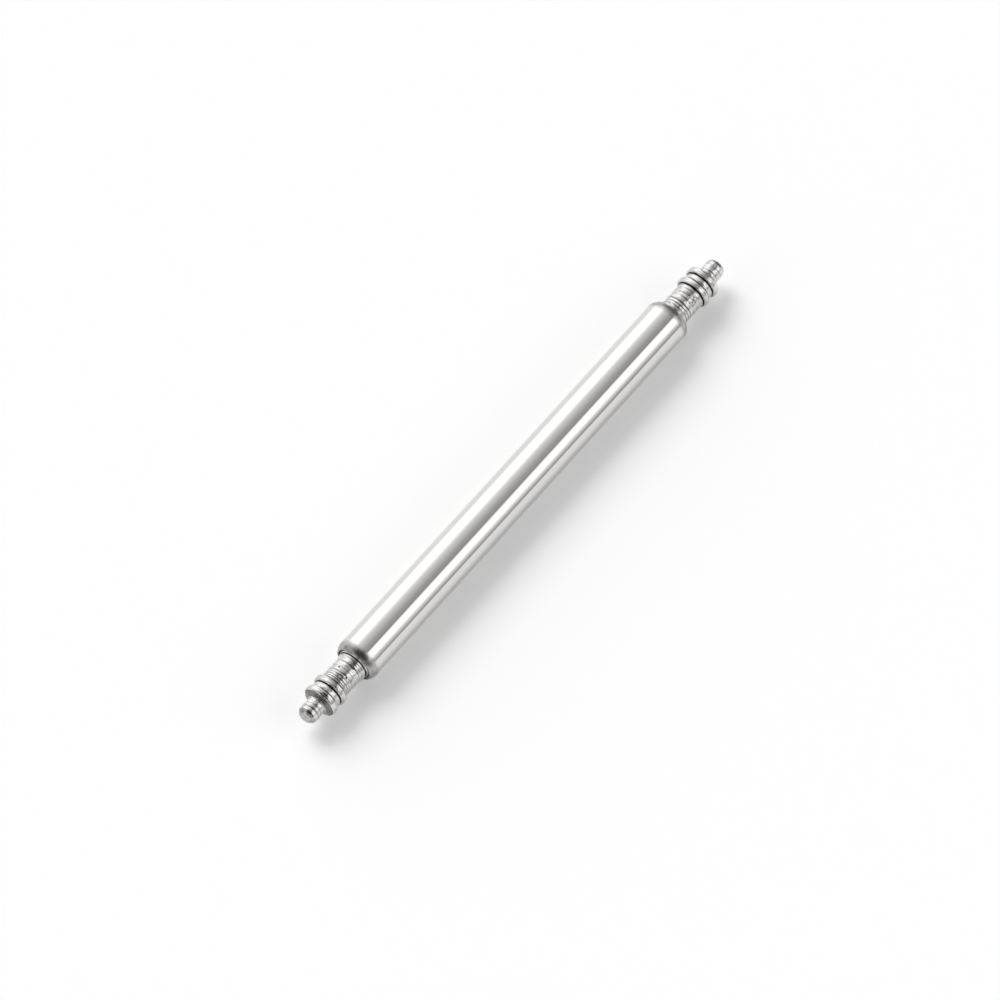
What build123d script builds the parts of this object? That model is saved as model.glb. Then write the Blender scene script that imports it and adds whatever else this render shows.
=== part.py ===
from build123d import *
from math import cos, dist, floor, isclose, pi, sin, sqrt
import os

# A sprung bar that pins a watch strap between two lugs: a thin barrel with rolled-in
# ends, a turned plunger with two flanges at each end, and one coil spring between them.
# Millimetres. The bar lies along X, its centre is the origin, and +Z is up.

# The whole bar at rest, with both plungers out
overall_length = 25.0

# Barrel, a drawn tube whose ends are rolled in over the plungers' heads
barrel_diameter = 1.80
barrel_wall = 0.14
roll_length = 0.32
lip_drop = 0.07
rim_wall = 0.09
rim_rounding = 0.02

# Plunger, the stretch outside the barrel, from the barrel's mouth outwards
neck_length = 1.26
neck_undercut = 0.065
flare_length = 0.45
ridge_count = 4
ridge_groove_depth = 0.025
inner_flange_width = 0.26
tool_groove_width = 0.28
tool_groove_depth = 0.10
outer_flange_width = 0.30
flange_overlap = 0.02
flange_rounding = 0.05
front_rounding = 0.12
tip_diameter = 0.80
tip_length = 0.83
tip_rounding = 0.26

# Plunger, the stretch inside the barrel
head_length = 1.60
head_rounding = 0.05
spigot_length = 0.80
spigot_rounding = 0.06

# Spring, whose coils stand this far apart along the bar
wire_diameter = 0.24
coil_gap = 0.43

# Gaps on the radius between parts that move in each other
shank_clearance = 0.035
head_clearance = 0.03
coil_clearance = 0.09
spigot_clearance = 0.08

# Gap along the bar between parts that press on each other
seat_clearance = 0.02

# How finely the spring's own gap is measured
points_per_turn = 24

# Radii that the barrel sets: its inside, its mouth, and what runs in them
bore_radius = barrel_diameter / 2 - barrel_wall
mouth_radius = bore_radius - lip_drop
rim_radius = mouth_radius + rim_wall
head_radius = bore_radius - head_clearance
shank_radius = mouth_radius - shank_clearance
waist_radius = shank_radius - neck_undercut
flange_radius = mouth_radius + flange_overlap
tool_groove_radius = flange_radius - tool_groove_depth
tip_radius = tip_diameter / 2
wire_radius = wire_diameter / 2
coil_radius = bore_radius - coil_clearance - wire_radius
spigot_radius = coil_radius - wire_radius - spigot_clearance

# Places along a plunger, measured outwards from the barrel's mouth
inner_flange_start = neck_length
tool_groove_start = inner_flange_start + inner_flange_width
outer_flange_start = tool_groove_start + tool_groove_width
tip_start = outer_flange_start + outer_flange_width
tip_end = tip_start + tip_length
barrel_length = overall_length - 2 * tip_end

# The head stops where the curve of the rolled lip has closed in on its rim
lip_curve_radius = (roll_length**2 + lip_drop**2) / (2 * lip_drop)
lip_reach = sqrt(2 * lip_curve_radius * head_clearance - head_clearance**2)
head_front = lip_reach - roll_length - seat_clearance
head_back = head_front - head_length
spigot_end = head_back - spigot_length

# The spring fills the room between the two heads
coil_room = barrel_length + 2 * head_back
coil_length = coil_room - wire_diameter - 2 * seat_clearance
coil_count = floor(coil_length / (wire_diameter + coil_gap))
coil_pitch = coil_length / coil_count


def neck_radius(reach):
    """The neck's radius at a distance out from the mouth: it flares towards the mouth."""
    flare_share = max(0, 1 - reach / flare_length)
    return waist_radius + neck_undercut * flare_share**2


def draw_neck_ridges():
    """Low rounded ridges with a fine groove after each, from the mouth to the flange."""
    pitch = neck_length / ridge_count
    here = (0, shank_radius)
    for ridge in range(ridge_count):
        crest = (ridge + 1 / 2) * pitch
        groove = (ridge + 1) * pitch
        there = (groove, neck_radius(groove) - ridge_groove_depth)
        ThreePointArc(here, (crest, neck_radius(crest)), there)
        here = there
    return here


def draw_plunger_outline():
    """Half the plunger's section, above the bar's axis, as one closed outline."""
    Polyline(
        (spigot_end, 0),
        (spigot_end, spigot_radius),
        (head_back, spigot_radius),
        (head_back, head_radius),
        (head_front, head_radius),
        (head_front, shank_radius),
        (0, shank_radius),
    )
    neck_end = draw_neck_ridges()
    Polyline(
        neck_end,
        (inner_flange_start, flange_radius),
        (tool_groove_start, flange_radius),
        (tool_groove_start, tool_groove_radius),
        (outer_flange_start, tool_groove_radius),
        (outer_flange_start, flange_radius),
        (tip_start, flange_radius),
        (tip_start, tip_radius),
        (tip_end, tip_radius),
        (tip_end, 0),
        (spigot_end, 0),
    )


def rings(part, radius):
    """A turned part's round edges of one radius, from the bar's middle outwards."""
    circles = part.edges().filter_by(GeomType.CIRCLE)
    matching = circles.filter_by(lambda ring: isclose(ring.radius, radius))
    return matching.sort_by(lambda ring: abs(ring.arc_center.X))


def make_plunger(name, side):
    """One turned pin, at the barrel's right end for side 1 and its left end for side -1."""
    mouth_plane = Plane(
        origin=(side * barrel_length / 2, 0, 0),
        x_dir=(side, 0, 0),
        z_dir=(0, 0, 1),
    )
    with BuildPart() as plunger:
        with BuildSketch(mouth_plane):
            with BuildLine():
                draw_plunger_outline()
            make_face()
        revolve(axis=Axis.X)
        fillet(rings(plunger, spigot_radius)[0], radius=spigot_rounding)
        fillet(rings(plunger, head_radius), radius=head_rounding)
        fillet(rings(plunger, flange_radius)[:-1], radius=flange_rounding)
        fillet(rings(plunger, flange_radius)[-1], radius=front_rounding)
        fillet(rings(plunger, tip_radius)[-1], radius=tip_rounding)
    plunger.part.label = name
    export_step(plunger.part, f"parts/{name}.step")


def coil_point(turn):
    """The middle of the spring's wire, a number of turns from its left end."""
    angle = 2 * pi * turn
    along = turn * coil_pitch - coil_length / 2
    return Vector(along, coil_radius * cos(angle), coil_radius * sin(angle))


def coil_heading(turn):
    """The direction in which the wire runs there."""
    angle = 2 * pi * turn
    around = 2 * pi * coil_radius
    return Vector(coil_pitch, -around * sin(angle), around * cos(angle)).normalized()


def draw_half_turn(turn):
    """Half a turn of the wire as two arcs, tangent to the helix and to each other."""
    start = coil_point(turn)
    end = coil_point(turn + 1 / 2)
    start_heading = coil_heading(turn)
    end_heading = coil_heading(turn + 1 / 2)
    chord = end - start
    headings = start_heading + end_heading
    bend = 4 - headings.dot(headings)
    climb = headings.dot(chord)
    arm = (sqrt(climb**2 + bend * chord.dot(chord)) - climb) / bend
    middle = (start + start_heading * arm + end - end_heading * arm) / 2
    first_arc = TangentArc(start, middle, tangent=start_heading)
    TangentArc(middle, end, tangent=first_arc % 1)


def least_coil_gap(path):
    """The least open space between the wire and its own next turns, measured on points."""
    count = coil_count * points_per_turn
    points = [tuple(path @ (index / count)) for index in range(count + 1)]
    nearest = min(
        dist(here, there)
        for index, here in enumerate(points)
        for there in points[index + points_per_turn // 2:index + 2 * points_per_turn]
    )
    return nearest - wire_diameter


os.makedirs("parts", exist_ok=True)

# The barrel
with BuildPart() as barrel_tube:
    with BuildSketch():
        with BuildLine():
            half_length = barrel_length / 2
            roll_start = half_length - roll_length
            outside = Line((0, barrel_diameter / 2), (roll_start, barrel_diameter / 2))
            inside = Line((0, bore_radius), (roll_start, bore_radius))
            TangentArc(outside @ 1, (half_length, rim_radius), tangent=outside % 1)
            TangentArc(inside @ 1, (half_length, mouth_radius), tangent=inside % 1)
            Line((half_length, rim_radius), (half_length, mouth_radius))
            mirror(about=Plane.YZ)
        make_face()
    revolve(axis=Axis.X)
    rims = barrel_tube.edges().filter_by(GeomType.CIRCLE).group_by(Axis.X)
    fillet(rims[0] + rims[-1], radius=rim_rounding)
barrel_tube.part.label = "barrel_tube"
export_step(barrel_tube.part, "parts/barrel_tube.step")

# The two plungers
make_plunger("left_plunger", -1)
make_plunger("right_plunger", 1)

# The spring
with BuildPart() as compression_spring:
    with BuildLine() as wire_path:
        for half_turn in range(2 * coil_count):
            draw_half_turn(half_turn / 2)
    with BuildSketch(Plane(origin=coil_point(0), z_dir=coil_heading(0))):
        Circle(wire_radius)
    sweep()
compression_spring.part.label = "compression_spring"
export_step(compression_spring.part, "parts/compression_spring.step")

least_gap = least_coil_gap(Wire(wire_path.edges()))
print(f"barrel {barrel_length:.2f} mm long, spring of {coil_count} turns, least gap {least_gap:.3f} mm")
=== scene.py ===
from math import cos, exp, floor, pi, radians, sin, sqrt

import bpy
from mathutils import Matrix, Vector, noise


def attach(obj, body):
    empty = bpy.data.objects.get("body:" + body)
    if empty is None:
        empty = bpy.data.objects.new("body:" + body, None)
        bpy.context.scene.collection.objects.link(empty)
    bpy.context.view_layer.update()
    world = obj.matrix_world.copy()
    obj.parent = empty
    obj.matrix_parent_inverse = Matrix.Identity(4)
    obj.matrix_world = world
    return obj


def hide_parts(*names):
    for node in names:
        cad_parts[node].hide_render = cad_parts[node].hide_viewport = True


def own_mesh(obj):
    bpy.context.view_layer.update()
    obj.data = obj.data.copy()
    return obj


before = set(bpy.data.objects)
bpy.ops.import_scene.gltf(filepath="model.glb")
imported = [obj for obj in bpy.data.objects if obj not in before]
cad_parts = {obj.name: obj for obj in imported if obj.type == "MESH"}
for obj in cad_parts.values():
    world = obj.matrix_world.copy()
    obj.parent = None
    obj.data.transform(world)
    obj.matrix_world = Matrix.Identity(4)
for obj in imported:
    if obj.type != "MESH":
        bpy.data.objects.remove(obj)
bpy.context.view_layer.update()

# A spring bar: a polished tube with rolled-in ends, a turned plunger at each end and one
# coil spring inside. It lies along X with its centre at the origin, and +Z is up.
# Sizes are in millimetres, and are multiplied by MM where Blender takes metres.
MM = 0.001

# The whole bar at rest
overall_length = 25.0

# Barrel
barrel_radius = 0.90
barrel_wall = 0.14
roll_length = 0.32
lip_drop = 0.07
rim_wall = 0.09
rim_rounding = 0.02

# Plunger, the stretch outside the barrel, measured outwards from the barrel's mouth
neck_length = 1.26
neck_undercut = 0.065
flare_length = 0.45
inner_flange_width = 0.26
tool_groove_width = 0.28
tool_groove_depth = 0.10
outer_flange_width = 0.30
flange_overlap = 0.02
outer_front_rounding = 0.12
inner_front_rounding = 0.08
flange_back_rounding = 0.05
corner_cut_width = 0.035
corner_cut_depth = 0.03
front_cone_length = 0.06
front_cone_radius = 0.42
face_edge_radius = 0.59
tip_radius = 0.40
tip_length = 0.83
tip_rounding = 0.26

# Plunger, the stretch inside the barrel
head_length = 1.60
spigot_length = 0.80
hidden_rounding = 0.05

# Spring
wire_radius = 0.12
coil_turns = 22
coil_length = 15.40

# Gaps between parts that move in each other
shank_clearance = 0.035
head_clearance = 0.03
coil_clearance = 0.09
spigot_clearance = 0.08
seat_clearance = 0.02

# How finely the meshes are cut
around_barrel = 256
around_plunger = 180
outline_step = 0.01
corner_steps = 8
neck_steps = 100
roll_steps = 16
steps_per_turn = 40
around_wire = 16

# Radii that the sizes above set
bore_radius = barrel_radius - barrel_wall
mouth_radius = bore_radius - lip_drop
rim_radius = mouth_radius + rim_wall
head_radius = bore_radius - head_clearance
shank_radius = mouth_radius - shank_clearance
waist_radius = shank_radius - neck_undercut
flange_radius = mouth_radius + flange_overlap
tool_groove_radius = flange_radius - tool_groove_depth
coil_radius = bore_radius - coil_clearance - wire_radius
spigot_radius = coil_radius - wire_radius - spigot_clearance

# Places along a plunger, measured outwards from the barrel's mouth
tool_groove_start = neck_length + inner_flange_width
outer_flange_start = tool_groove_start + tool_groove_width
tip_start = outer_flange_start + outer_flange_width
tip_end = tip_start + tip_length
barrel_half = overall_length / 2 - tip_end
roll_start = barrel_half - roll_length

# The head stops where the curve of the rolled lip has closed in on its rim
lip_curve_radius = (roll_length**2 + lip_drop**2) / (2 * lip_drop)
lip_reach = sqrt(2 * lip_curve_radius * head_clearance - head_clearance**2)
head_front = lip_reach - roll_length - seat_clearance
head_back = head_front - head_length
spigot_end = head_back - spigot_length


def rounded_outline(corners):
    """The line through (along, radius, rounding) corners, each corner rounded by an arc."""
    points = []
    for index, (along, radius, rounding) in enumerate(corners):
        here = Vector((along, radius))
        if not rounding:
            points.append(here)
            continue
        before = Vector(corners[index - 1][:2])
        after = Vector(corners[index + 1][:2])
        inward = (before - here).normalized()
        outward = (after - here).normalized()
        half_angle = inward.angle(outward) / 2
        reach = rounding / sin(half_angle) * cos(half_angle)
        start = here + inward * reach
        end = here + outward * reach
        centre = here + (inward + outward).normalized() * (rounding / sin(half_angle))
        for step in range(corner_steps + 1):
            spoke = start.lerp(end, step / corner_steps) - centre
            points.append(centre + spoke.normalized() * rounding)
    return points


def with_even_steps(points):
    """The same line, with no step outside the barrel's mouth longer than outline_step."""
    line = [points[0]]
    for start, end in zip(points, points[1:]):
        count = 1
        if end.x > 0:
            count += floor((end - start).length / outline_step)
        line.extend(start.lerp(end, (step + 1) / count) for step in range(count))
    return line


def make_piece(name, verts, faces, painted_shade=None):
    """A smooth mesh object from corners in millimetres. The painted shade is a share for each
    corner.
    """
    mesh = bpy.data.meshes.new(name)
    mesh.from_pydata([Vector(vert) * MM for vert in verts], [], faces)
    mesh.shade_smooth()
    if painted_shade:
        # Each corner's share of painted shade, which the material reads
        mesh.attributes.new("painted_shade", "FLOAT", "POINT").data.foreach_set("value", painted_shade)
    piece = bpy.data.objects.new(name, mesh)
    bpy.context.scene.collection.objects.link(piece)
    return piece


def join_rows(low, high, columns):
    """The faces between two rings of corners. A ring on the axis is one corner."""
    faces = []
    for column in range(columns):
        beside = (column + 1) % columns
        if len(low) == 1:
            faces.append((low[0], high[beside], high[column]))
        elif len(high) == 1:
            faces.append((low[column], low[beside], high[0]))
        else:
            faces.append((low[column], low[beside], high[beside], high[column]))
    return faces


def turned_piece(name, points, columns, side=1, relief=None):
    """A solid turned about X from half its section, at the bar's right end for side 1.

    A relief moves the skin off the section, and says how much painted shade it gets. It is
    given angles that run from straight up towards -Y.
    """
    verts = []
    painted_shade = []
    rows = []
    travelled = 0
    for index, point in enumerate(points):
        before = points[max(index - 1, 0)]
        after = points[min(index + 1, len(points) - 1)]
        travelled += (point - before).length
        heading = (after - before).normalized()
        off = Vector((-heading.y, heading.x))
        count = columns if point.y else 1
        rows.append(range(len(verts), len(verts) + count))
        for column in range(count):
            angle = 2 * pi * column / columns
            moved = point
            shade_share = 0
            if relief and point.y:
                height, shade_share = relief(point, travelled, side * angle)
                moved = point + off * height
            painted_shade.append(shade_share)
            verts.append((side * moved.x, -side * moved.y * sin(angle), moved.y * cos(angle)))
    if points[0].y:
        rows.append(rows[0])
    faces = []
    for low, high in zip(rows, rows[1:]):
        faces += join_rows(low, high, columns)
    return make_piece(name, verts, faces, painted_shade)


# The barrel
def roll_points(radius, drop):
    """The right end's curve where the tube is rolled in, from its start to the mouth."""
    curve_radius = (roll_length**2 + drop**2) / (2 * drop)
    points = []
    for step in range(roll_steps + 1):
        reach = roll_length * step / roll_steps
        fall = curve_radius - sqrt(curve_radius**2 - reach**2)
        points.append(Vector((roll_start + reach, radius - fall)))
    return points


def barrel_outline():
    """The tube's closed section: the outside to the right, the rim, the bore, and so back."""
    outside = roll_points(barrel_radius, barrel_radius - rim_radius)
    inside = roll_points(bore_radius, bore_radius - mouth_radius)
    rim = rounded_outline([
        (*outside[-2], 0),
        (*outside[-1], rim_rounding),
        (*inside[-1], rim_rounding),
        (*inside[-2], 0),
    ])
    right_half = outside[:-2] + rim + inside[-3::-1]
    left_half = [Vector((-point.x, point.y)) for point in reversed(right_half)]
    return right_half + left_half


barrel = turned_piece("barrel", barrel_outline(), around_barrel)


# The plungers
def neck_radius(reach):
    """The neck's radius at a distance out from the mouth: it flares towards the mouth."""
    flare_share = max(0, 1 - reach / flare_length)
    return waist_radius + neck_undercut * flare_share**2


def plunger_outline():
    """Half a plunger's section from its inner end to its tip, from the bar's own centre."""
    neck_end = neck_length - corner_cut_width
    neck_reaches = [neck_end * step / neck_steps for step in range(neck_steps + 1)]
    neck_cut_radius = waist_radius - corner_cut_depth
    groove_cut_radius = tool_groove_radius - corner_cut_depth
    floor_start = tool_groove_start + corner_cut_width
    floor_end = outer_flange_start - corner_cut_width
    corners = [
        (spigot_end, 0, 0),
        (spigot_end, spigot_radius, hidden_rounding),
        (head_back, spigot_radius, 0),
        (head_back, head_radius, hidden_rounding),
        (head_front, head_radius, hidden_rounding),
        (head_front, shank_radius, 0),
        *((reach, neck_radius(reach), 0) for reach in neck_reaches),
        (neck_end, neck_cut_radius, 0),
        (neck_length, neck_cut_radius, 0),
        (neck_length, flange_radius, flange_back_rounding),
        (tool_groove_start, flange_radius, inner_front_rounding),
        (tool_groove_start, groove_cut_radius, 0),
        (floor_start, groove_cut_radius, 0),
        (floor_start, tool_groove_radius, 0),
        (floor_end, tool_groove_radius, 0),
        (floor_end, groove_cut_radius, 0),
        (outer_flange_start, groove_cut_radius, 0),
        (outer_flange_start, flange_radius, flange_back_rounding),
        (tip_start, flange_radius, outer_front_rounding),
        (tip_start, face_edge_radius, 0),
        (tip_start + front_cone_length, front_cone_radius, 0),
        (tip_start + front_cone_length, tip_radius, 0),
        (tip_end, tip_radius, tip_rounding),
        (tip_end, 0, 0),
    ]
    line = with_even_steps(rounded_outline(corners))
    return [Vector((point.x + barrel_half, point.y)) for point in line]


# The turned skin is uneven, in layers of noise. Each layer is (height, scale around, scale
# along, which way a plunger's seed shifts it). Sinking the skin keeps it inside the section.
skin_layers = [
    (0.005, 0.7, 9, (1, 0, 0)),
    (0.004, 0.4, 30, (1, 0, 0)),
    (0.009, 3.5, 8, (0, 1, 0)),
    (0.0035, 10, 22, (0, 1, 0)),
]
skin_sink = 0.006
tip_fade_length = 0.1

# How far a turned groove wanders along the bar as it goes round
groove_wander = 0.02
wander_around_scale = 1.1
wander_along_scale = 5

# A groove or a nick this deep gets the full painted shade
full_shade_groove_depth = 0.018
full_shade_nick_depth = 0.022

# Painted shade in the cut corners beside the flanges, and a little way up their walls
corner_climb = 0.02
corner_shade_share = 0.9
corner_mottle_share = 0.12
corner_mottle_scale = 2.5

# Painted shade on the outer flange's front, in turned rings
face_margin = 0.03
face_tip_gap = 0.01
face_shade_share = 0.76
face_ring_share = 0.24
face_ring_scale = 45

# Painted shade on the tip's end, mottled
shaded_end_length = 0.24
shaded_end_fade_length = 0.1
end_shade_share = 0.4
end_shade_mottle_share = 0.25
end_shade_around_scale = 3
end_shade_along_scale = 12


def skin_height(around, travelled, seed):
    """How far the skin's unevenness stands off the section at a direction around the bar."""
    height = -skin_sink
    for layer_height, around_scale, along_scale, seed_way in skin_layers:
        place = around * around_scale + Vector(seed_way) * seed
        place.x += travelled * along_scale
        height += layer_height * noise.noise(place)
    return height


def in_cut_corner(reach, radius):
    """Whether a place on the skin lies in one of the cut corners beside the flanges."""
    cut_starts = (
        neck_length - corner_cut_width,
        tool_groove_start,
        outer_flange_start - corner_cut_width,
    )
    in_a_cut = any(start <= reach <= start + corner_cut_width for start in cut_starts)
    return in_a_cut and radius < tool_groove_radius + corner_climb


def section_painted_shade(reach, radius, around):
    """How much painted shade the cut corners, the outer flange's front and the tip's end get."""
    # Painted shade in the cut corners, mottled around the bar
    if in_cut_corner(reach, radius):
        mottle = noise.noise(around * corner_mottle_scale)
        return corner_shade_share + corner_mottle_share * mottle
    # Painted shade on the outer flange's front, darker and lighter in rings
    if reach > tip_start - face_margin and radius > tip_radius + face_tip_gap:
        rings = noise.noise(Vector((radius * face_ring_scale, 0, 0)))
        return face_shade_share + face_ring_share * rings
    # Painted shade on the tip's end, fading out towards the flanges
    into_shaded_end = reach - tip_end + shaded_end_length
    if into_shaded_end > 0:
        place = around * end_shade_around_scale + Vector((reach * end_shade_along_scale, 0, 0))
        shade_share = end_shade_share + end_shade_mottle_share * noise.noise(place)
        return shade_share * min(1, into_shaded_end / shaded_end_fade_length)
    return 0


def dent_share(distance, width):
    """How deep a smooth dent is at a distance from its middle, as a share of its depth."""
    return exp(-(distance / width) ** 2)


def cut_relief(grooves, nicks, seed):
    """A function that says how far a plunger's skin stands off its section, and how much painted
    shade it gets.
    """

    def relief(point, travelled, angle):
        reach = point.x - barrel_half
        if reach < 0:
            return 0, 0
        around = Vector((0, cos(angle), sin(angle)))
        height = skin_height(around, travelled, seed)
        shade_share = section_painted_shade(reach, point.y, around)
        for groove_reach, width, depth in grooves:
            along = groove_reach * wander_along_scale + seed
            wander = noise.noise(around * wander_around_scale + Vector((along, 0, 0)))
            cut_share = dent_share(reach - groove_reach - groove_wander * wander, width)
            height -= depth * cut_share
            # Painted shade in a groove, by its depth
            shade_share = max(shade_share, cut_share * depth / full_shade_groove_depth)
        for nick_reach, nick_angle, length, spread, depth in nicks:
            off_angle = (angle - radians(nick_angle) + pi) % (2 * pi) - pi
            along_share = dent_share(reach - nick_reach, length)
            cut_share = along_share * dent_share(off_angle, radians(spread))
            height -= depth * cut_share
            # Painted shade in a nick, by its depth
            shade_share = max(shade_share, cut_share * depth / full_shade_nick_depth)
        fade_share = min(1, (tip_end - reach) / tip_fade_length)
        return height * fade_share, min(1, shade_share)

    return relief


# Each groove is (reach, width, depth), and each nick (reach, angle, length, spread, depth)
# with its angle and spread in degrees. A nick of negative depth is a burr.
left_grooves = [
    (0.03, 0.035, 0.018), (0.36, 0.015, 0.006), (0.62, 0.018, 0.005), (0.80, 0.02, 0.008),
    (0.92, 0.014, 0.007), (1.03, 0.014, 0.010), (1.12, 0.014, 0.012), (1.20, 0.014, 0.010),
    (2.40, 0.02, 0.005), (2.56, 0.016, 0.011),
]
left_nicks = [
    (0.36, 24, 0.03, 9, 0.03), (0.46, 50, 0.05, 6, -0.016), (0.65, -16, 0.035, 5, 0.02),
    (1.95, 18, 0.03, 7, 0.02), (0.83, 33, 0.03, 5, 0.018), (0.98, 5, 0.04, 6, 0.012),
]
right_grooves = [
    (0.02, 0.03, 0.018), (0.23, 0.016, 0.011), (0.36, 0.016, 0.010), (0.50, 0.018, 0.015),
    (0.72, 0.016, 0.004), (0.90, 0.018, 0.006), (1.08, 0.016, 0.005),
    (2.32, 0.02, 0.006), (2.56, 0.016, 0.005),
]
right_nicks = [
    (0.72, 40, 0.05, 8, 0.012), (0.8, 46, 0.04, 7, 0.012), (0.9, 40, 0.04, 7, 0.012),
    (0.98, 33, 0.05, 6, 0.010), (0.85, -25, 0.05, 7, 0.010),
]
left_relief = cut_relief(left_grooves, left_nicks, seed=3)
right_relief = cut_relief(right_grooves, right_nicks, seed=11)
left_plunger = turned_piece(
    "left_plunger_turned", plunger_outline(), around_plunger, side=-1, relief=left_relief
)
right_plunger = turned_piece(
    "right_plunger_turned", plunger_outline(), around_plunger, side=1, relief=right_relief
)


# The spring
def coil_point(turn):
    """The middle of the wire, a number of turns from the spring's left end."""
    angle = 2 * pi * turn
    along = turn * coil_length / coil_turns - coil_length / 2
    return Vector((along, coil_radius * cos(angle), coil_radius * sin(angle)))


def coil_heading(turn):
    """The direction in which the wire runs there."""
    angle = 2 * pi * turn
    around = 2 * pi * coil_radius
    along = coil_length / coil_turns
    return Vector((along, -around * sin(angle), around * cos(angle))).normalized()


def coil_half(name, first_turn, last_turn):
    """One half of the spring, from one turn to another."""
    verts = []
    rows = []
    step_count = floor((last_turn - first_turn) * steps_per_turn)
    for step in range(step_count + 1):
        turn = first_turn + step / steps_per_turn
        centre = coil_point(turn)
        outward = Vector((0, centre.y, centre.z)).normalized()
        across = coil_heading(turn).cross(outward)
        rows.append(range(len(verts), len(verts) + around_wire))
        for column in range(around_wire):
            angle = 2 * pi * column / around_wire
            verts.append(centre + (outward * cos(angle) + across * sin(angle)) * wire_radius)
    faces = [tuple(reversed(rows[0])), tuple(rows[-1])]
    for low, high in zip(rows, rows[1:]):
        faces += join_rows(low, high, around_wire)
    return make_piece(name, verts, faces)


left_coil = coil_half("spring_left", 0, coil_turns / 2)
right_coil = coil_half("spring_right", coil_turns / 2, coil_turns)


# Materials

# The range that noise mostly fills, and a narrower one that gives it more contrast
wide_noise = (0.3, 0.7)
narrow_noise = (0.35, 0.65)

# How many finer layers a noise has. Its scale is in grains to the metre.
fine_detail = 3
coarse_detail = 2

# The dark colour that painted shade turns any of the metals into
painted_shade_colour = (0.05, 0.048, 0.045, 1)


def add_node(tree, kind, inputs=None, **settings):
    """A node with its settings made, and each input given a value or a link."""
    node = tree.nodes.new(kind)
    for name, value in settings.items():
        setattr(node, name, value)
    for name, value in (inputs or {}).items():
        if isinstance(value, bpy.types.NodeSocket):
            tree.links.new(value, node.inputs[name])
        else:
            node.inputs[name].default_value = value
    return node


def calculate(tree, operation, *values):
    """A maths node's result."""
    inputs = dict(enumerate(values))
    return add_node(tree, "ShaderNodeMath", inputs, operation=operation).outputs[0]


def remap(tree, value, low, high, to_low, to_high, smooth=False):
    """A value taken from one range into another, and held inside it."""
    kind = "SMOOTHSTEP" if smooth else "LINEAR"
    inputs = {"Value": value, "From Min": low, "From Max": high, "To Min": to_low, "To Max": to_high}
    return add_node(tree, "ShaderNodeMapRange", inputs, interpolation_type=kind).outputs["Result"]


def mix(tree, share, first, second, kind="RGBA"):
    """The first colour or value where the share is 0, turning into the second where it is 1."""
    inputs = {"Factor": share, "A": first, "B": second}
    return add_node(tree, "ShaderNodeMix", inputs, data_type=kind).outputs["Result"]


def noise_texture(tree, place, detail):
    """Noise at a place that is already scaled."""
    inputs = {"Vector": place, "Scale": 1, "Detail": detail}
    return add_node(tree, "ShaderNodeTexNoise", inputs).outputs["Fac"]


def stretched_noise(tree, coords, scale, detail):
    """Noise whose grain is stretched by a scale for each axis."""
    mapping = add_node(tree, "ShaderNodeMapping", {"Vector": coords, "Scale": scale})
    return noise_texture(tree, mapping.outputs["Vector"], detail)


def out_and_radius(tree, parts):
    """A place's distance out from the bar's middle, and its distance from the bar's axis."""
    out_from_middle = calculate(tree, "ABSOLUTE", parts["X"])
    squares = [calculate(tree, "POWER", parts[name], 2) for name in "YZ"]
    radius = calculate(tree, "SQRT", calculate(tree, "ADD", *squares))
    return out_from_middle, radius


def ring_noise(tree, coords, along_scale, around_scale, detail):
    """Noise drawn out into rings about X, on cylinders and on flat ends alike."""
    parts = add_node(tree, "ShaderNodeSeparateXYZ", {"Vector": coords}).outputs
    out_from_middle, radius = out_and_radius(tree, parts)
    skin_place = calculate(tree, "ADD", out_from_middle, radius)
    inputs = {
        "X": calculate(tree, "MULTIPLY", skin_place, along_scale),
        "Y": calculate(tree, "MULTIPLY", parts["Y"], around_scale),
        "Z": calculate(tree, "MULTIPLY", parts["Z"], around_scale),
    }
    scaled = add_node(tree, "ShaderNodeCombineXYZ", inputs).outputs["Vector"]
    return noise_texture(tree, scaled, detail)


def add_bump(tree, pattern, height, normal=None):
    """A bump of a height in millimetres where the pattern is 1, on top of another or none."""
    inputs = {"Height": pattern, "Distance": height * MM, "Strength": 1}
    if normal:
        inputs["Normal"] = normal
    return add_node(tree, "ShaderNodeBump", inputs).outputs["Normal"]


def new_metal(name, colour):
    """A metal of one plain colour, with its node tree, its shader and its coordinates."""
    material = bpy.data.materials.new(name)
    material.use_nodes = True
    tree = material.node_tree
    shader = tree.nodes["Principled BSDF"]
    shader.inputs["Base Color"].default_value = colour
    shader.inputs["Metallic"].default_value = 1
    coords = add_node(tree, "ShaderNodeTexCoord").outputs["Object"]
    return material, tree, shader, coords


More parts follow.
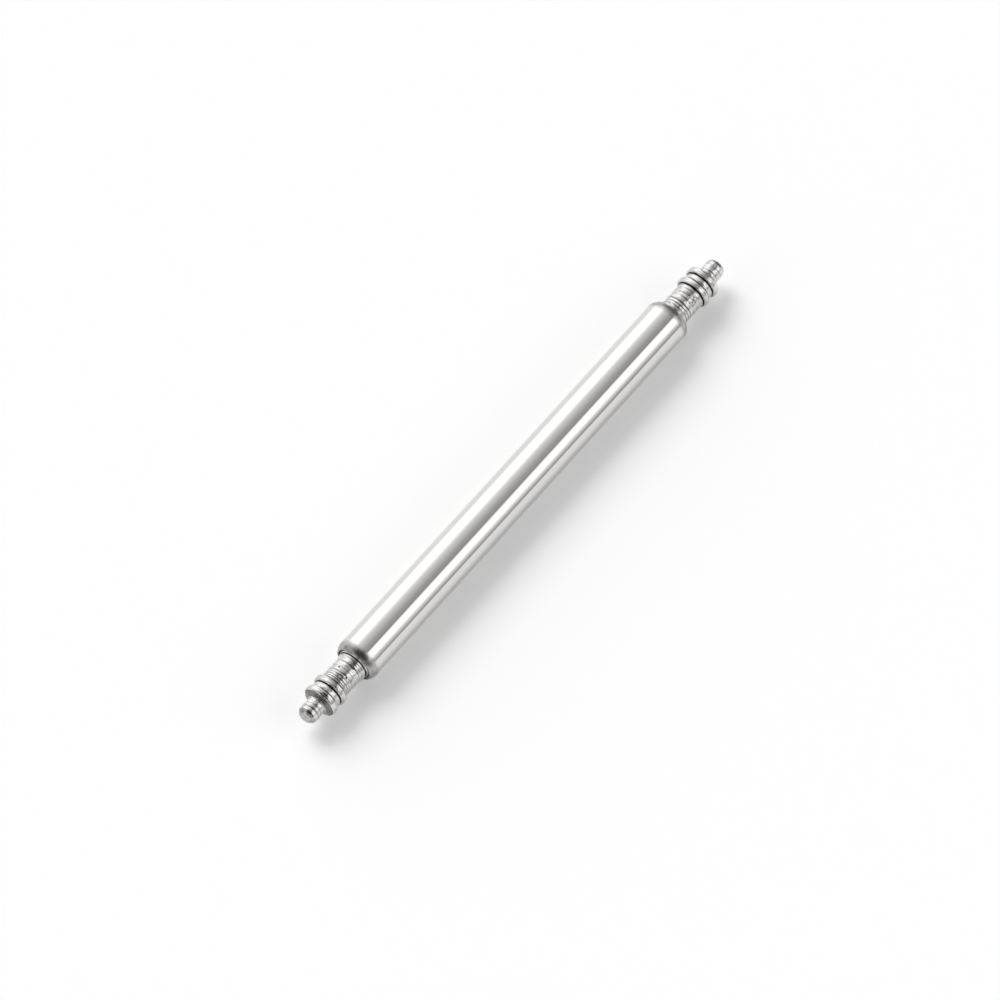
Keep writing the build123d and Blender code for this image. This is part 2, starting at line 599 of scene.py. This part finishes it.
def polished_tube():
    """Drawn steel polished bright; dull, mottled and darker where it is rolled in, partly with
    painted shade; painted shade in its mouth.
    """
    bright = (0.70, 0.69, 0.675, 1)
    # The rolled end is darker than the tube: partly its dull swaged finish, partly painted shade
    dull_shaded_dark = (0.36, 0.35, 0.34, 1)
    dull_shaded_light = (0.52, 0.51, 0.50, 1)
    bright_range = (0.05, 0.10)
    dull_range = (0.26, 0.36)
    dull_before_roll = 0.11
    dull_into_roll = 0.07
    shade_margin = 0.01
    drawn_scale = (120, 14000, 14000)
    cloud_scale = (500, 2500, 2500)
    grain_scale = (8000, 8000, 8000)
    spun_along_scale = 30000
    spun_around_scale = 900
    line_height = 0.0007
    ring_height = 0.002
    pit_height = 0.008

    material, tree, shader, coords = new_metal("barrel_steel", bright)
    parts = add_node(tree, "ShaderNodeSeparateXYZ", {"Vector": coords}).outputs
    out_from_middle, radius = out_and_radius(tree, parts)
    dull_places = ((roll_start - dull_before_roll) * MM, (roll_start + dull_into_roll) * MM)
    dull_share = remap(tree, out_from_middle, *dull_places, 0, 1, smooth=True)
    # Painted shade inside the tube's mouth
    shaded_radii = ((mouth_radius + shade_margin) * MM, (rim_radius + shade_margin) * MM)
    mouth_shade_share = remap(tree, radius, *shaded_radii, 1, 0, smooth=True)
    drawn = stretched_noise(tree, coords, drawn_scale, fine_detail)
    cloudy = stretched_noise(tree, coords, cloud_scale, coarse_detail)
    grain = stretched_noise(tree, coords, grain_scale, fine_detail)
    spun = ring_noise(tree, coords, spun_along_scale, spun_around_scale, fine_detail)

    bright_roughness = remap(tree, drawn, *wide_noise, *bright_range)
    dull_roughness = remap(tree, cloudy, *wide_noise, *dull_range)
    roughness = mix(tree, dull_share, bright_roughness, dull_roughness, kind="FLOAT")
    mottled = mix(tree, remap(tree, grain, *narrow_noise, 0, 1), dull_shaded_dark, dull_shaded_light)
    unshaded = mix(tree, dull_share, bright, mottled)
    colour = mix(tree, mouth_shade_share, unshaded, painted_shade_colour)
    dull_rings = calculate(tree, "MULTIPLY", spun, dull_share)
    dull_pits = calculate(tree, "MULTIPLY", grain, dull_share)
    lines = add_bump(tree, drawn, line_height)
    rings = add_bump(tree, dull_rings, ring_height, lines)
    pits = add_bump(tree, dull_pits, pit_height, rings)
    tree.links.new(roughness, shader.inputs["Roughness"])
    tree.links.new(colour, shader.inputs["Base Color"])
    tree.links.new(pits, shader.inputs["Normal"])
    return material


def turned_steel():
    """Steel with the rings that a lathe leaves, and painted shade where the mesh says."""
    dark_tone = (0.54, 0.53, 0.52, 1)
    middle_tone = (0.64, 0.63, 0.62, 1)
    light_tone = (0.76, 0.75, 0.74, 1)
    turned_range = (0.12, 0.26)
    blotch_scale = (5000, 5000, 5000)
    broad_along_scale = 14000
    broad_around_scale = 2500
    fine_along_scale = 60000
    fine_around_scale = 1500
    broad_height = 0.005
    fine_height = 0.0025

    material, tree, shader, coords = new_metal("plunger_steel", middle_tone)
    broad = ring_noise(tree, coords, broad_along_scale, broad_around_scale, coarse_detail)
    fine = ring_noise(tree, coords, fine_along_scale, fine_around_scale, fine_detail)
    blotch = stretched_noise(tree, coords, blotch_scale, fine_detail)
    shade_share = add_node(tree, "ShaderNodeAttribute", attribute_name="painted_shade").outputs["Fac"]

    roughness = remap(tree, blotch, *wide_noise, *turned_range)
    unshaded = mix(tree, remap(tree, broad, *narrow_noise, 0, 1), dark_tone, light_tone)
    # Painted shade darkens the turned tone where the mesh says
    colour = mix(tree, shade_share, unshaded, painted_shade_colour)
    broad_marks = add_bump(tree, broad, broad_height)
    marks = add_bump(tree, fine, fine_height, broad_marks)
    tree.links.new(roughness, shader.inputs["Roughness"])
    tree.links.new(colour, shader.inputs["Base Color"])
    tree.links.new(marks, shader.inputs["Normal"])
    return material


def spring_wire():
    """Drawn wire with a fine grain."""
    wire_colour = (0.58, 0.57, 0.55, 1)
    wire_range = (0.25, 0.42)
    grain_scale = (9000, 9000, 9000)
    grain_height = 0.003

    material, tree, shader, coords = new_metal("spring_steel", wire_colour)
    grain = stretched_noise(tree, coords, grain_scale, fine_detail)
    roughness = remap(tree, grain, *wide_noise, *wire_range)
    tree.links.new(roughness, shader.inputs["Roughness"])
    tree.links.new(add_bump(tree, grain, grain_height), shader.inputs["Normal"])
    return material


# What each piece rides on, stands for and is made of
turned = turned_steel()
wire = spring_wire()
for piece, body, slot, node, material in (
    (barrel, "barrel", "barrel_steel", "barrel_tube", polished_tube()),
    (left_plunger, "left_plunger", "plunger_steel", "left_plunger", turned),
    (right_plunger, "right_plunger", "plunger_steel", "right_plunger", turned),
    (left_coil, "spring", "spring_steel", "compression_spring", wire),
    (right_coil, "spring", "spring_steel", "compression_spring", wire),
):
    piece.data.materials.append(material)
    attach(piece, body)
    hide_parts(node)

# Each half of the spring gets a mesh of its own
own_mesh(left_coil)
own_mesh(right_coil)

# The floor is matt paper, which glows just enough to look white
floor_reach = 2000
floor_colour = (0.92, 0.92, 0.92, 1)
floor_glow = 0.235


def white_paper():
    """Matt paper whose glow shows only to the camera, in metal and through glass."""
    material = bpy.data.materials.new("white_paper")
    material.use_nodes = True
    tree = material.node_tree
    tree.nodes.clear()
    seen = add_node(tree, "ShaderNodeLightPath").outputs
    camera_or_glossy = calculate(tree, "MAXIMUM", seen["Is Camera Ray"], seen["Is Glossy Ray"])
    shown = calculate(tree, "MAXIMUM", camera_or_glossy, seen["Is Transmission Ray"])
    glow_strength = calculate(tree, "MULTIPLY", shown, floor_glow)
    matt = add_node(tree, "ShaderNodeBsdfDiffuse", {"Color": floor_colour}).outputs[0]
    glow = add_node(tree, "ShaderNodeEmission", {"Strength": glow_strength}).outputs[0]
    both = add_node(tree, "ShaderNodeAddShader", {0: matt, 1: glow}).outputs[0]
    add_node(tree, "ShaderNodeOutputMaterial", {"Surface": both})
    return material


floor_signs = ((-1, -1), (1, -1), (1, 1), (-1, 1))
floor_corners = [(x * floor_reach, y * floor_reach, -barrel_radius) for x, y in floor_signs]
ground = make_piece("floor", floor_corners, [(0, 1, 2, 3)])
ground.data.materials.append(white_paper())

# The camera, which looks down across the bar from its left end
view_azimuth = radians(-51.7)
view_elevation = radians(60)
camera_distance = 480
camera_lens = 462
sensor_width = 36
nearest_seen = 10
farthest_seen = 10000
aim_left = 0.5
aim_down = 0.4
towards_camera = Vector((
    sin(view_azimuth) * cos(view_elevation),
    -cos(view_azimuth) * cos(view_elevation),
    sin(view_elevation),
))
picture_right = Vector((cos(view_azimuth), sin(view_azimuth), 0))
picture_up = towards_camera.cross(picture_right)
aim = -picture_right * aim_left - picture_up * aim_down
camera_data = bpy.data.cameras.new("camera")
camera_data.lens = camera_lens
camera_data.sensor_width = sensor_width
camera_data.clip_start = nearest_seen * MM
camera_data.clip_end = farthest_seen * MM
camera = bpy.data.objects.new("camera", camera_data)
camera.location = (aim + towards_camera * camera_distance) * MM
camera.rotation_euler = towards_camera.to_track_quat("Z", "Y").to_euler()
bpy.context.scene.collection.objects.link(camera)
bpy.context.scene.camera = camera

# The studio is two light panels with dim walls between and beyond them. Each stop is an
# angle about X, in degrees from straight up towards -Y, and the strength of the light there.
across_stops = [
    (-150, 0.6), (-110, 1.1), (-86, 1.15), (-78, 1.5), (-36, 1.5), (-30, 1.15), (-20, 0.84),
    (13, 0.43), (20, 0.43), (28, 0.30), (31, 0.7), (35, 1.45), (60, 1.45), (67, 1.05),
    (75, 0.7), (82, 0.5), (94, 0.3), (150, 0.3),
]
brightest = 1.5

# Each stop is how far a direction points along X, and the share of that light left there
along_shares = [
    (-1, 1.0), (-0.88, 1.0), (-0.76, 0.4), (-0.2, 0.4), (0, 0.75), (0.26, 1.0),
    (0.62, 1.0), (0.76, 0.4), (0.86, 0.15), (1, 0.12),
]

# An unlit wall round the camera, full inside one angle from it and gone outside another
wall_full_angle = radians(33)
wall_end_angle = radians(45)
wall_light_share = 0.16


def ramp(tree, position, stops, low, high, top=1):
    """A ramp through (place, value) stops from the low to the high place, in shares of top."""
    place_share = remap(tree, position, low, high, 0, 1)
    ramp_node = add_node(tree, "ShaderNodeValToRGB", {"Fac": place_share})
    elements = ramp_node.color_ramp.elements
    while len(elements) < len(stops):
        elements.new(1)
    for element, (place, value) in zip(elements, stops):
        element.position = (place - low) / (high - low)
        element.color = (value / top, value / top, value / top, 1)
    return ramp_node.outputs["Color"]


def studio():
    """The world that lights the bar and shows in its metal."""
    world = bpy.data.worlds.new("studio")
    world.use_nodes = True
    tree = world.node_tree
    tree.nodes.clear()
    direction = add_node(tree, "ShaderNodeTexCoord").outputs["Generated"]
    parts = add_node(tree, "ShaderNodeSeparateXYZ", {"Vector": direction}).outputs
    towards_front = calculate(tree, "MULTIPLY", parts["Y"], -1)
    about_x = calculate(tree, "ARCTAN2", towards_front, parts["Z"])
    across = ramp(tree, calculate(tree, "DEGREES", about_x), across_stops, -180, 180, brightest)
    along = ramp(tree, parts["X"], along_shares, -1, 1)
    both_directions = {0: direction, 1: towards_camera}
    facing = add_node(tree, "ShaderNodeVectorMath", both_directions, operation="DOT_PRODUCT")
    wall_edges = (cos(wall_end_angle), cos(wall_full_angle))
    wall = remap(tree, facing.outputs["Value"], *wall_edges, 1, wall_light_share, smooth=True)
    open_light = calculate(tree, "MULTIPLY", across, along)
    light = calculate(tree, "MULTIPLY", open_light, wall)
    shown_light = {"Color": light, "Strength": brightest}
    background = add_node(tree, "ShaderNodeBackground", shown_light).outputs[0]
    add_node(tree, "ShaderNodeOutputWorld", {"Surface": background})
    return world


bpy.context.scene.world = studio()

# A soft lamp behind the bar lays its shadow on the floor, and doesn't show in the metal
lamp_strength = 1.35
lamp_width = radians(36)
lamp_tilt = radians(46)
lamp_lean_share = 0.15
towards_lamp = Vector((lamp_lean_share, sin(lamp_tilt), cos(lamp_tilt)))
lamp_data = bpy.data.lights.new("lamp", "SUN")
lamp_data.energy = lamp_strength
lamp_data.angle = lamp_width
lamp = bpy.data.objects.new("lamp", lamp_data)
lamp.visible_glossy = False
lamp.rotation_euler = towards_lamp.to_track_quat("Z", "Y").to_euler()
bpy.context.scene.collection.objects.link(lamp)

bpy.context.scene.view_settings.view_transform = "Standard"
